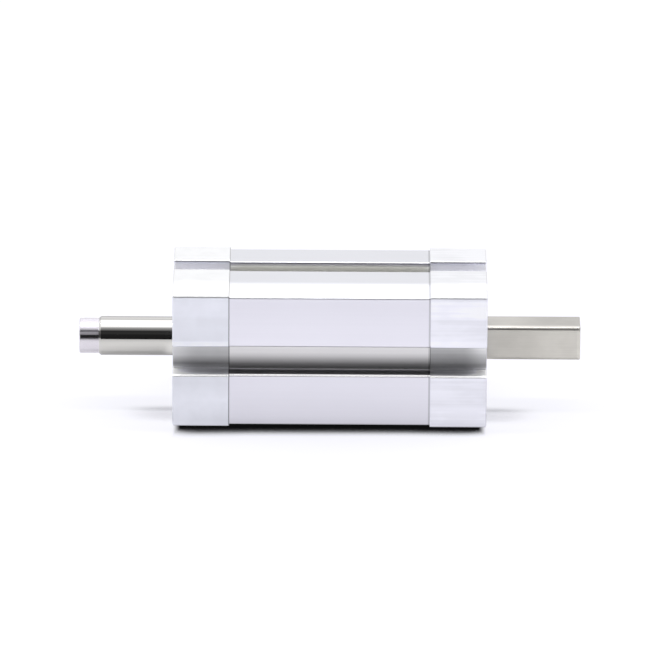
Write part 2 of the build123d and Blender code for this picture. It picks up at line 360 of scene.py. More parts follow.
class StudioSettings(bpy.types.PropertyGroup):
    """The camera, the light and the floor."""

    elevation: FloatProperty(
        name="Camera elevation",
        description="Height of the camera above the horizon, seen from the part",
        subtype="ANGLE",
        default=math.radians(21.4),
    )
    roll: FloatProperty(
        name="Camera roll",
        description="Turn of the camera about its own line of sight",
        subtype="ANGLE",
        default=math.radians(0.34),
    )
    distance: FloatProperty(
        name="Camera distance",
        description="Distance from the camera to the part",
        unit="LENGTH",
        default=2.56,
    )
    softbox: FloatProperty(
        name="Overhead light",
        description="Brightness of the soft light overhead",
        min=0,
        default=1.3,
    )
    strip: FloatProperty(
        name="Strip light",
        description="Brightness that a narrow strip adds to the overhead light",
        min=0,
        default=12.0,
    )
    glow: FloatProperty(
        name="Glow",
        description="Brightness of the glow in front of the overhead light",
        min=0,
        default=1.8,
    )
    backdrop: FloatProperty(
        name="Backdrop",
        description="Brightness of the pale backdrop behind the part",
        min=0,
        default=1.08,
    )
    horizon: FloatProperty(
        name="Horizon",
        description="Brightness of the backdrop at the horizon",
        min=0,
        default=0.65,
    )
    floor_shade: FloatProperty(
        name="Floor shade",
        description="Whiteness of the floor",
        min=0,
        max=1,
        default=0.88,
    )
    floor_white: FloatProperty(
        name="Floor in metal",
        description="Brightness of the floor where metal mirrors it",
        min=0,
        default=1.2,
    )
    floor_evenness: FloatProperty(
        name="Floor evenness",
        description="Share by which shadows on the floor are lightened where metal mirrors them",
        min=0,
        max=1,
        default=0.7,
    )
    side_evenness: FloatProperty(
        name="Floor evenness at the sides",
        description="The same share beside the body, under the rods",
        min=0,
        max=1,
        default=0.28,
    )
    contact_reach: FloatProperty(
        name="Contact shadow",
        description="How far the dark line where the part meets the floor reaches",
        unit="LENGTH",
        default=7.9 * MM,
    )
    contact_depth: FloatProperty(
        name="Contact shadow's light",
        description="How light the floor is right beside the part",
        min=0,
        max=1,
        default=0.005,
    )
    floor_blue: FloatProperty(
        name="Floor blue",
        description="How much more blue the camera sees in the floor's shadows",
        min=1,
        default=1.06,
    )
    floor_lift: FloatProperty(
        name="Floor lift",
        description="How much whiter the camera sees the floor, so that it runs into the backdrop",
        min=1,
        default=1.35,
    )


GROUPS = {
    "cylinder_barrel": BarrelFinish,
    "cylinder_caps": CapFinish,
    "cylinder_rods": RodFinish,
    "cylinder_threads": ThreadSizes,
    "cylinder_studio": StudioSettings,
}


# Materials


class Graph:
    """A node tree under construction."""

    def __init__(self, tree):
        self.tree = tree

    def add(self, kind, links=None, **settings):
        """One node; settings are its properties, and links its inputs by name or number."""
        made = self.tree.nodes.new(kind)
        for key, value in settings.items():
            setattr(made, key, value)
        for key, value in (links or {}).items():
            if isinstance(value, bpy.types.NodeSocket):
                self.tree.links.new(value, made.inputs[key])
            else:
                made.inputs[key].default_value = value
        return made

    def maths(self, operation, first, second=0.0):
        """The result of a maths node."""
        return self.add("ShaderNodeMath", {0: first, 1: second}, operation=operation).outputs[0]

    def span(self, value, low, high, to_low=0.0, to_high=1.0, smooth=True):
        """value taken from low..high to to_low..to_high, held at the ends."""
        made = self.add(
            "ShaderNodeMapRange",
            {0: value, 1: low, 2: high, 3: to_low, 4: to_high},
            interpolation_type="SMOOTHSTEP" if smooth else "LINEAR",
        )
        return made.outputs[0]

    def within(self, value, low, high, soft):
        """1 where value is between low and high, fading to 0 over soft outside them."""
        rise = self.span(value, low - soft, low)
        fall = self.span(value, high, high + soft, 1, 0)
        return self.maths("MULTIPLY", rise, fall)

    def product(self, *values):
        """The values multiplied together."""
        result = values[0]
        for value in values[1:]:
            result = self.maths("MULTIPLY", result, value)
        return result

    def levels(self, value, stops, unit=1.0):
        """A factor that runs along value from stop to stop; each is (value in unit, factor)."""
        peak = max(factor for _, factor in stops)
        low, high = stops[0][0], stops[-1][0]
        along = self.span(value, low * unit, high * unit, smooth=False)
        made = self.add("ShaderNodeValToRGB", {"Fac": along})
        elements = made.color_ramp.elements
        elements[1].position = 1
        for place, _ in stops[1:-1]:
            elements.new((place - low) / (high - low))
        for element, (_, factor) in zip(elements, stops):
            element.color = (factor / peak,) * 3 + (1,)
        return self.maths("MULTIPLY", made.outputs["Color"], peak)

    def axes(self, vector):
        """The X, Y and Z of a vector."""
        return self.add("ShaderNodeSeparateXYZ", {"Vector": vector}).outputs


class Recipe(Graph):
    """A metal, rubber or plastic material under construction, on Object coordinates."""

    def __init__(self, name, colour, roughness, metallic=1.0):
        self.material = bpy.data.materials.new(name)
        self.material.use_nodes = True
        super().__init__(self.material.node_tree)
        self.shader = self.tree.nodes["Principled BSDF"]
        self.shader.inputs["Base Color"].default_value = (*colour, 1)
        self.shader.inputs["Roughness"].default_value = roughness
        self.shader.inputs["Metallic"].default_value = metallic
        self.coordinates = self.add("ShaderNodeTexCoord").outputs["Object"]
        self.x, self.y, self.z = self.axes(self.coordinates)

    def radius(self):
        """The distance from the X axis."""
        squares = (self.maths("MULTIPLY", axis, axis) for axis in (self.y, self.z))
        return self.maths("SQRT", self.maths("ADD", *squares))

    def noise(self, sizes, detail=2.0):
        """Noise whose grains are as large as sizes, from 0 to 1 about 0.5."""
        scaled = self.add(
            "ShaderNodeMapping",
            {"Vector": self.coordinates, "Scale": tuple(1 / size for size in sizes)},
        )
        made = self.add(
            "ShaderNodeTexNoise",
            {"Vector": scaled.outputs["Vector"], "Scale": 1.0, "Detail": detail},
        )
        return made.outputs["Fac"]

    def spread(self, noise):
        """Noise from 0.3 to 0.7 spread over 0 to 1."""
        return self.span(noise, 0.3, 0.7)

    def mixed(self, share, first, second):
        """The colour first, blended to the colour second by share."""
        made = self.add("ShaderNodeMix", {"Factor": share}, data_type="RGBA")
        for socket, value in ((made.inputs[6], first), (made.inputs[7], second)):
            if isinstance(value, bpy.types.NodeSocket):
                self.tree.links.new(value, socket)
            else:
                socket.default_value = (*value, 1)
        return made.outputs[2]

    def tone(self, *layers):
        """The product of layers; each is (mask, factor or stops along Z), and works where its
        mask is 1."""
        factors = []
        for mask, by in layers:
            if isinstance(by, tuple):
                by = self.levels(self.z, by, MM)
            factors.append(self.span(mask, 0, 1, 1, by, smooth=False))
        return self.product(*factors)

    def colour(self, tint, tone=None):
        """Sets the base colour, a tint made darker or lighter by a tone."""
        if tone is not None:
            links = {0: tint, "Scale": tone}
            tint = self.add("ShaderNodeVectorMath", links, operation="SCALE").outputs[0]
        self.tree.links.new(tint, self.shader.inputs["Base Color"])

    def roughness(self, base, *layers):
        """Sets the roughness: base, raised where a layer's mask is 1 by the layer's rise."""
        for mask, rise in layers:
            base = self.maths("ADD", self.maths("MULTIPLY", mask, rise), base)
        self.tree.links.new(base, self.shader.inputs["Roughness"])

    def metallic(self, *layers):
        """Sets the metallic share: 1, lowered where a layer's mask is 1 by the layer's fall."""
        share = 1.0
        for mask, fall in layers:
            share = self.maths("SUBTRACT", share, self.maths("MULTIPLY", mask, fall))
        self.tree.links.new(share, self.shader.inputs["Metallic"])

    def bump(self, *layers):
        """Bumps stacked on each other; each layer is (height from 0 to 1, depth in metres)."""
        normal = None
        for height, depth in layers:
            links = {"Height": height, "Distance": depth, "Strength": 1.0}
            if normal is not None:
                links["Normal"] = normal
            normal = self.add("ShaderNodeBump", links).outputs["Normal"]
        self.tree.links.new(normal, self.shader.inputs["Normal"])

    def give(self, *names):
        """Puts the material on CAD nodes."""
        for name in names:
            data = nodes[name].data
            data.materials.clear()
            data.materials.append(self.material)


class ProfileRecipe(Recipe):
    """A recipe for the square profile; half is half its side. Each mask is 1 on its own place:

    channel on the walls of all channels, groove on those of the top one, slot on the others;
    lip on the rounding under the front channel, lip_foot on the line below it and lip_head on
    what lies behind it; ledge on the front channel's lower wall, ledge_end near its opening;
    top and front on the faces, band along the top's front; edge on the bevels along X, and rim
    on the one at the top's back."""

    def __init__(self, name, colour, roughness, half):
        super().__init__(name, colour, roughness)
        self.half = half
        self.away_x, away_y, away_z = (
            self.maths("ABSOLUTE", axis) for axis in (self.x, self.y, self.z)
        )
        inside = self.span(self.away_x, FACE_X - 0.15 * MM, FACE_X - 0.05 * MM, 1, 0)
        reach = self.maths("MAXIMUM", away_y, away_z)
        self.channel = self.product(
            inside, self.span(reach, half - 1.2 * MM, half - 0.5 * MM, 1, 0)
        )
        high = self.span(self.z, *GROOVE_Z)
        self.groove = self.product(self.channel, high)
        self.slot = self.product(self.channel, self.maths("SUBTRACT", 1.0, high))
        self.lip = self.product(
            self.within(self.z, *LIP_Z, 0.08 * MM), self.near_front(0.7 * MM, 1.1 * MM)
        )
        self.lip_foot = self.product(
            inside,
            self.within(self.z, *LIP_FOOT_Z, 0.25 * MM),
            self.near_front(0.7 * MM, 1 * MM),
        )
        self.lip_head = self.product(
            inside,
            self.span(self.y, 0.23 * MM - half, 0.95 * MM - half),
            self.within(self.z, -10 * MM, 8 * MM, 2 * MM),
        )
        low_wall = self.within(self.z, *LEDGE_Z, 0.1 * MM)
        self.ledge = self.product(self.slot, low_wall)
        self.ledge_end = self.product(low_wall, self.near_front(1 * MM, 3 * MM))
        self.rim = self.product(
            self.span(self.y, half - 0.4 * MM, half - 0.3 * MM),
            self.span(self.z, half - 0.6 * MM, half - 0.5 * MM),
        )
        self.top = self.span(self.z, half - 0.5 * MM, half - 0.25 * MM)
        self.front = self.near_front(0.25 * MM, 0.5 * MM)
        corner = self.maths("ADD", away_y, away_z)
        self.edge = self.span(corner, 2 * half - 0.43 * MM, 2 * half - 0.33 * MM)
        self.band = self.product(self.top, self.span(self.y, *BAND_Y, 1, 0))

    def near_front(self, full, none):
        """1 up to full behind the front face, fading to 0 at none."""
        return self.span(self.y, full - self.half, none - self.half, 1, 0)


def barrel_material(finish):
    """Clear anodised extrusion: die lines along X, and a matte band along the top's front that is
    also lightened by a painted highlight. Its tone paints light and shade: lighter groove walls,
    highlights at the lips, darker bevels and back rim, and levels on the front and in the channels.
    """
    recipe = ProfileRecipe("barrel anodised", finish.tint, finish.roughness, BARREL_HIGH.z)
    pitch = finish.line_pitch
    lines = recipe.noise((80 * MM, pitch, pitch), detail=3)
    fine = recipe.noise((25 * MM, pitch / 4, pitch / 4))
    cloud = recipe.noise((30 * MM, 12 * MM, 12 * MM))
    # The top, the other faces and the channel and groove walls take their own tints: lit and shaded
    # copies of one anodising, as painted light
    outer_tint = recipe.mixed(recipe.top, finish.tint, finish.top_tint)
    channel_tint = recipe.mixed(recipe.groove, finish.channel_tint, finish.groove_tint)
    joint = recipe.span(recipe.x, JOINT_X - 0.5 * MM, JOINT_X - 0.35 * MM)
    recipe.colour(
        recipe.mixed(recipe.channel, outer_tint, channel_tint),
        recipe.tone(
            (recipe.spread(lines), 1.012),
            (recipe.spread(cloud), 0.985),
            # From the groove on, the layers paint light and shade, save the dark joint line:
            # lighter groove walls, highlights at the lower edge and lip, darker bevels and back
            # rim, a highlight on the band, and levels on the front and in the channels
            (recipe.groove, BARREL_GROOVE),
            (recipe.ledge_end, 1.8),
            (recipe.lip, 1.28),
            (recipe.edge, 0.75),
            (recipe.rim, 0.5),
            (joint, 0.68),
            (recipe.band, 1.4),
            (recipe.front, BARREL_FRONT),
            (recipe.slot, BARREL_CHANNEL),
        ),
    )
    recipe.roughness(
        finish.roughness,
        (fine, 0.04),
        (recipe.channel, 0.14),
        (recipe.lip, -0.02),
        (recipe.band, 0.2),
    )
    recipe.bump(
        (lines, 0.002 * MM),
        (fine, 0.001 * MM),
        (recipe.lip_foot, LIP_FOOT),
        (recipe.lip_head, LIP_HEAD),
    )
    return recipe


def cap_recipe(name, tint, top_tint, channel_tint, roughness):
    """What both caps share: the masks, slot_end at the channels' open ends, where painted light
    lightens the walls, and the tint, whose top and channel colours are lit and shaded copies of the
    cap's own, as painted light.
    """
    recipe = ProfileRecipe(name, tint, roughness, CAP_HIGH.z)
    recipe.slot_end = recipe.product(
        recipe.slot, recipe.span(recipe.away_x, FACE_X - 6.2 * MM, FACE_X + 0.4 * MM)
    )
    outer_tint = recipe.mixed(recipe.top, tint, top_tint)
    recipe.tint = recipe.mixed(recipe.channel, outer_tint, channel_tint)
    return recipe


def left_cap_material(finish):
    """Blasted and anodised: a fine even grain with faint clouds, and a dark line at the joint. Its
    tone also paints light and shade: lighter groove walls and channel ends, highlights at the lips
    and over the upper lip, a darker top border and bevels, a lighter band on the top, and levels on
    the front and in the channels.
    """
    recipe = cap_recipe(
        "left cap anodised",
        finish.left_tint,
        finish.left_top_tint,
        finish.channel_tint,
        finish.left_roughness,
    )
    grain = recipe.noise((0.12 * MM, 0.12 * MM, 0.12 * MM), detail=1)
    cloud = recipe.noise((4 * MM, 4 * MM, 4 * MM), detail=3)
    joint = recipe.product(
        recipe.span(recipe.away_x, JOINT_X + 0.1 * MM, JOINT_X + 0.28 * MM, 1, 0),
        recipe.span(recipe.top, 0, 1, 1, 0.5),
    )
    # Painted shade along the top's front border, and a painted highlight on the front just over the
    # upper lip
    painted_border_shade = recipe.product(recipe.top, recipe.near_front(0.45 * MM, 0.55 * MM))
    painted_lip_highlight = recipe.product(
        recipe.front, recipe.within(recipe.z, 4.3 * MM, 5.1 * MM, 0.7 * MM)
    )
    recipe.colour(
        recipe.tint,
        recipe.tone(
            (recipe.spread(cloud), 0.96),
            # From the groove on, the layers paint light and shade, save the dark joint line:
            # lighter groove walls and channel ends, highlights at the lips, darker bevels, and
            # levels on the front and in the channels
            (recipe.groove, 1.085),
            (recipe.ledge_end, 1.25),
            (recipe.lip, 1.25),
            (recipe.edge, 0.75),
            (joint, 0.2),
            (recipe.slot_end, 1.38),
            (painted_border_shade, 0.8),
            (painted_lip_highlight, 1.12),
            (recipe.band, 1.1),
            (recipe.front, LEFT_CAP_FRONT),
            (recipe.slot, LEFT_CAP_CHANNEL),
        ),
    )
    recipe.roughness(
        finish.left_roughness,
        (recipe.channel, 0.03),
        (recipe.ledge, 0.3),
        (recipe.lip, -0.15),
        (recipe.band, 0.1),
    )
    recipe.bump((grain, 0.005 * MM), (recipe.lip_foot, LIP_FOOT), (recipe.lip_head, LIP_HEAD))
    return recipe


def right_cap_material(finish):
    """Anodised with lines along X, some of them a little darker. Its tone paints light and shade
    too: lighter groove walls and channel ends, highlights at the lips, darker bevels, a lighter
    band on the top, and levels on the front and in the channels.
    """
    recipe = cap_recipe(
        "right cap anodised",
        finish.right_tint,
        finish.right_top_tint,
        finish.channel_tint,
        finish.right_roughness,
    )
    pitch = finish.line_pitch
    lines = recipe.noise((90 * MM, pitch, pitch), detail=4)
    cloud = recipe.noise((9 * MM, 5 * MM, 5 * MM))
    recipe.colour(
        recipe.tint,
        recipe.tone(
            (recipe.span(recipe.maths("ADD", lines, cloud), 0.85, 1.15), 0.93),
            # From the groove on, the layers paint light and shade: lighter groove walls and channel
            # ends, highlights at the lips, darker bevels, a highlight on the band, and levels on
            # the front and in the channels
            (recipe.groove, 1.125),
            (recipe.ledge_end, 1.25),
            (recipe.lip, 1.2),
            (recipe.edge, 0.75),
            (recipe.slot_end, 1.68),
            (recipe.band, 1.1),
            (recipe.front, RIGHT_CAP_FRONT),
            (recipe.slot, RIGHT_CAP_CHANNEL),
        ),
    )
    recipe.roughness(
        finish.right_roughness,
        (recipe.channel, 0.05),
        (recipe.ledge, 0.25),
        (recipe.lip, -0.1),
        (recipe.band, 0.1),
    )
    recipe.bump((lines, 0.006 * MM), (recipe.lip_foot, LIP_FOOT), (recipe.lip_head, LIP_HEAD))
    return recipe


def chrome_material(finish):
    """Polished hard chrome with a trace of polishing lines round the rod, and its turned end.
    Painted reflections run round the rod as light and dark bands, the cone behind the turned end
    has painted shade, and pale bands on the turned end are a painted reflection.
    """
    recipe = Recipe("rod chrome", finish.chrome_tint, finish.chrome_roughness)
    polish = recipe.noise((0.5 * MM, 20 * MM, 20 * MM))
    from_end = recipe.maths("SUBTRACT", recipe.x, ROUND_LOW.x)
    turned = recipe.span(from_end, TURNED_END, TURNED_END + 0.1 * MM, 1, 0)
    forward = recipe.maths("MULTIPLY", recipe.y, -1.0)
    round_rod = recipe.maths("ARCTAN2", recipe.z, forward)
    degree = TURN / 360
    # Painted shade on the cone behind the turned end, over part of its round
    cone = recipe.product(
        recipe.within(from_end, *CONE_X, 0.05 * MM),
        recipe.within(round_rod, 15 * degree, 36 * degree, 4 * degree),
    )
    outside = recipe.product(
        recipe.span(recipe.radius(), HOLLOW_RADIUS, HOLLOW_RADIUS + 0.1 * MM),
        recipe.span(from_end, 0.05 * MM, 0.2 * MM),
    )
    # Painted reflections: light and dark bands round the rod and its turned end
    bands = recipe.span(
        turned,
        0,
        1,
        recipe.levels(round_rod, CHROME_ROUND, degree),
        recipe.levels(round_rod, TURNED_ROUND, degree),
    )
    recipe.colour(
        recipe.mixed(turned, finish.chrome_tint, finish.turned_tint),
        recipe.product(recipe.span(outside, 0, 1, 1, bands), recipe.tone((cone, 0.2))),
    )
    # Pale, less metallic bands round the turned end: a painted reflection
    pale = recipe.within(round_rod, 24 * degree, 33 * degree, 2 * degree)
    also_pale = recipe.span(round_rod, 37 * degree, 41 * degree)
    pale = recipe.maths("MAXIMUM", pale, recipe.maths("MULTIPLY", also_pale, 0.4))
    recipe.metallic((recipe.product(turned, outside, pale), 0.75))
    recipe.shader.inputs["Specular Tint"].default_value = (*finish.edge_tint, 1)
    recipe.roughness(finish.chrome_roughness, (polish, 0.03), (turned, 0.12), (cone, 0.25))
    return recipe


def steel_material(finish):
    """Ground steel: fine lines along the rod, and a shoulder that fades out at its end. Light is
    painted on the top's front edge as a highlight, with painted shade on the rounding below it, and
    painted levels run along the front and the top.
    """
    recipe = Recipe("rod ground steel", finish.steel_tint, finish.steel_roughness)
    lines = recipe.noise((18 * MM, 0.16 * MM, 0.16 * MM), detail=3)
    blotch = recipe.noise((5 * MM, 3 * MM, 3 * MM))
    half = SQUARE_HIGH.z
    top = recipe.span(recipe.z, half - 0.2 * MM, half - 0.05 * MM)
    front = recipe.span(recipe.y, 0.05 * MM - half, 0.2 * MM - half, 1, 0)
    # A painted highlight on the top's front end, and painted shade on the rounding below it
    painted_edge_highlight = recipe.product(
        recipe.span(recipe.z, half - 0.12 * MM, half - 0.07 * MM),
        recipe.span(recipe.y, 1.5 * MM - half, 1.8 * MM - half, 1, 0),
    )
    painted_edge_shade = recipe.product(
        recipe.within(recipe.z, 4.17 * MM, 4.34 * MM, 0.05 * MM),
        recipe.span(recipe.y, 1 * MM - half, 1.1 * MM - half, 1, 0),
    )
    recipe.colour(
        finish.steel_tint,
        recipe.product(
            recipe.tone(
                (recipe.spread(lines), 0.93),
                (recipe.spread(blotch), 0.93),
                (painted_edge_highlight, 1.6),
                (painted_edge_shade, 0.35),
            ),
            # Painted light and shade along X on the front and the top
            recipe.span(front, 0, 1, 1, recipe.levels(recipe.x, STEEL_FRONT, MM), smooth=False),
            recipe.span(top, 0, 1, 1, recipe.levels(recipe.x, STEEL_TOP, MM), smooth=False),
        ),
    )
    shoulder = recipe.product(
        recipe.span(recipe.z, 3.6 * MM, 3.88 * MM, smooth=False),
        recipe.span(recipe.x, SQUARE_HIGH.x - 0.5 * MM, SQUARE_HIGH.x - 0.1 * MM, 1, 0),
    )
    recipe.bump((lines, 0.004 * MM), (shoulder, 0.08 * MM))
    return recipe


def turned_material(name, tint, roughness):
    """A turned face or ring: faint grooves round the X axis."""
    recipe = Recipe(name, tint, roughness)
    feed = 0.22 * MM
    rings = recipe.maths("SINE", recipe.maths("MULTIPLY", recipe.radius(), TURN / feed))
    recipe.bump((recipe.span(rings, -1, 1), 0.003 * MM))
    return recipe


def moulded_material(name, tint, roughness):
    """Rubber or plastic with a fine moulded grain."""
    recipe = Recipe(name, tint, roughness, metallic=0.0)
    grain = recipe.noise((0.1 * MM, 0.1 * MM, 0.1 * MM), detail=1)
    recipe.roughness(roughness - 0.05, (grain, 0.1))
    recipe.bump((grain, 0.004 * MM))
    return recipe


# The inner pieces: kind of material, its name, colour and roughness, and the nodes that have it
INNER_FINISHES = (
    (
        turned_material, "bush bronze", (0.50, 0.33, 0.15), 0.4,
        ("left_guide_bush", "right_guide_bush"),
    ),
    (
        turned_material, "washer steel", (0.52, 0.52, 0.52), 0.32,
        ("left_seal_washer", "right_seal_washer"),
    ),
    (
        turned_material, "piston aluminium", (0.72, 0.72, 0.73), 0.3,
        ("left_piston_half", "right_piston_half"),
    ),
    (
        moulded_material, "seal rubber", (0.02, 0.02, 0.022), 0.45,
        (
            "left_rod_seal", "right_rod_seal", "left_cap_o_ring", "right_cap_o_ring",
            "left_piston_seal", "right_piston_seal", "stud_o_ring",
        ),
    ),
    (
        moulded_material, "bumper polyurethane", (0.03, 0.05, 0.16), 0.4,
        ("left_bumper", "right_bumper"),
    ),
    (moulded_material, "bonded magnet", (0.035, 0.035, 0.04), 0.6, ("magnet_ring",)),
    (moulded_material, "bearing plastic", (0.42, 0.28, 0.15), 0.5, ("piston_guide_ring",)),
)


# Meshes


def make_piece(name, points, faces, material, body):
    """A smooth mesh object that rides on a body and takes its finish from a slot."""
    mesh = bpy.data.meshes.new(name)
    mesh.from_pydata(points.reshape(-1, 3).tolist(), [], faces.tolist())
    mesh.polygons.foreach_set("use_smooth", np.ones(len(mesh.polygons), bool))
    mesh.materials.append(material)
    piece = bpy.data.objects.new(name, mesh)
    bpy.context.scene.collection.objects.link(piece)
    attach(piece, body)
    return piece


def wrapped_faces(rows, columns):
    """Quads of a grid that closes on itself both ways: a torus of rows by columns points."""
    row, column = np.meshgrid(np.arange(rows), np.arange(columns), indexing="ij")
    next_row, next_column = (row + 1) % rows, (column + 1) % columns
    corners = (
        row * columns + column,
        next_row * columns + column,
        next_row * columns + next_column,
        row * columns + next_column,
    )
    return np.stack(corners, axis=-1).reshape(-1, 4)


def thread_sleeve(root, depth, pitch, length, steps):
    """A closed ring with an inner thread, about its own local Z from 0 down to -length.

    On the inside the radius is root - depth * t * e - skin. Here w is a triangle wave from 0 to
    1 and back in (height / pitch - angle / one turn), t = 1.6 * w - 0.3 held between 0 and 1,
    and e rises from 0.02 to 1 over half a pitch at both ends. The outside is a plain cylinder
    of radius root. The profile runs down the inside and back up the outside."""
    points_a_pitch = 6
    skin = 0.01 * MM
    rings = int(length / pitch * points_a_pitch)
    height = -np.linspace(0, length, rings)
    angle = np.arange(steps) * TURN / steps
    phase = (height[None, :] / pitch - angle[:, None] / TURN) % 1
    wave = np.clip(1.6 * (1 - np.abs(2 * phase - 1)) - 0.3, 0, 1)
    ends = np.clip(np.minimum(-height, length + height) / (pitch / 2), 0.02, 1)
    inner = root - depth * wave * ends[None, :] - skin
    outer = np.full((steps, 2), root)
    radius = np.concatenate([inner, outer], axis=1)
    level = np.concatenate([height, [-length, 0]])
    x = radius * np.cos(angle)[:, None]
    y = radius * np.sin(angle)[:, None]
    z = np.broadcast_to(level, radius.shape)
    return np.stack([x, y, z], axis=-1), wrapped_faces(steps, rings + 2)


def place(points, mouth, axis):
    """Points about local Z, moved so that the hole's mouth is at mouth and Z points along axis."""
    turn = Vector((0, 0, 1)).rotation_difference(Vector(axis)).to_matrix()
    return points @ np.array(turn).T + np.array(mouth)


# Operators: one for each piece or group of like pieces, and one for the stage


class FinishBarrel(bpy.types.Operator):
    """Gives the barrel its anodised finish."""

    bl_idname = "cylinder.barrel"
    bl_label = "Barrel"

    def execute(self, context):
        barrel_material(context.scene.cylinder_barrel).give("barrel")
        return {"FINISHED"}


class FinishCaps(bpy.types.Operator):
    """Gives the two end caps their finishes."""

    bl_idname = "cylinder.caps"
    bl_label = "End caps"

    def execute(self, context):
        finish = context.scene.cylinder_caps
        left_cap_material(finish).give("left_cap")
        right_cap_material(finish).give("right_cap")
        return {"FINISHED"}


class FinishRods(bpy.types.Operator):
    """Gives the chromed round rod and the ground square rod their finishes."""

    bl_idname = "cylinder.rods"
    bl_label = "Rods"

    def execute(self, context):
        finish = context.scene.cylinder_rods
        chrome_material(finish).give("round_rod")
        steel_material(finish).give("square_rod")
        return {"FINISHED"}


class FinishInside(bpy.types.Operator):
    """Gives the bushes, seals, washers, bumpers and piston pieces their finishes."""

    bl_idname = "cylinder.inside"
    bl_label = "Inner pieces"

    def execute(self, context):
        for material, name, tint, roughness, owners in INNER_FINISHES:
            material(name, tint, roughness).give(*owners)
        return {"FINISHED"}


class FinishScrews(bpy.types.Operator):
    """Gives the hollow cap screws their plated finish."""

    bl_idname = "cylinder.screws"
    bl_label = "Cap screws"

    def execute(self, context):
        recipe = Recipe("screw zinc", (0.50, 0.51, 0.53), 0.3)
        spots = recipe.noise((0.6 * MM, 0.6 * MM, 0.6 * MM), detail=3)
        recipe.roughness(0.22, (spots, 0.18))
        recipe.colour(
            recipe.mixed(recipe.spread(spots), (0.44, 0.45, 0.48), (0.56, 0.56, 0.57))
        )
        recipe.give("left_cap_screws", "right_cap_screws")
        return {"FINISHED"}


class MakeThreads(bpy.types.Operator):
    """Cuts the inner threads of the rod ends, the ports and the cap screws."""

    bl_idname = "cylinder.threads"
    bl_label = "Threads"

    def hole(self, name, mouth, axis, root, pitch, length, owner, body):
        """A threaded sleeve in one hole, with its owner's material and slot."""
        steps = bpy.context.scene.cylinder_threads.steps
        points, faces = thread_sleeve(root, pitch * THREAD_DEPTH, pitch, length, steps)
        material = nodes[owner].data.materials[0]
        make_piece(name, place(points, mouth, axis), faces, material, body)

    def execute(self, context):
        sizes = context.scene.cylinder_threads
        singles = {
            "round_rod_thread": ("round_rod", "rod_assembly", sizes.rod_pitch),
            "square_rod_thread": ("square_rod", "rod_assembly", sizes.rod_pitch),
            "left_port": ("left_cap", "housing", sizes.small_pitch),
            "right_port": ("right_cap", "housing", sizes.small_pitch),
        }
        for name, (owner, body, pitch) in singles.items():
            mount = MOUNTS[name]
            axis = Vector(mount["axis"])
            length = mount["dims"]["length_mm"] * MM
            mouth = Vector(mount["pos_m"]) + axis * (length / 2 - pitch / 4)
            root = mount["dims"]["r_mm"] * MM
            self.hole(name, mouth, axis, root, pitch, length - pitch, owner, body)
        pitch = sizes.small_pitch
        for side in ("left", "right"):
            mount = MOUNTS[side + "_end_threads"]
            axis = Vector(mount["axis"])
            root = mount["dims"]["hole_r_mm"] * MM
            half = mount["dims"]["spacing_x_mm"] * MM / 2
            corners = [(y, z) for y in (-half, half) for z in (-half, half)]
            for number, (y, z) in enumerate(corners, 1):
                name = f"{side}_screw_thread_{number}"
                mouth = Vector(mount["pos_m"]) + Vector((0, y, z)) - axis * pitch / 2
                owner = side + "_cap_screws"
                self.hole(name, mouth, axis, root, pitch, SCREW_THREAD, owner, "housing")
        return {"FINISHED"}


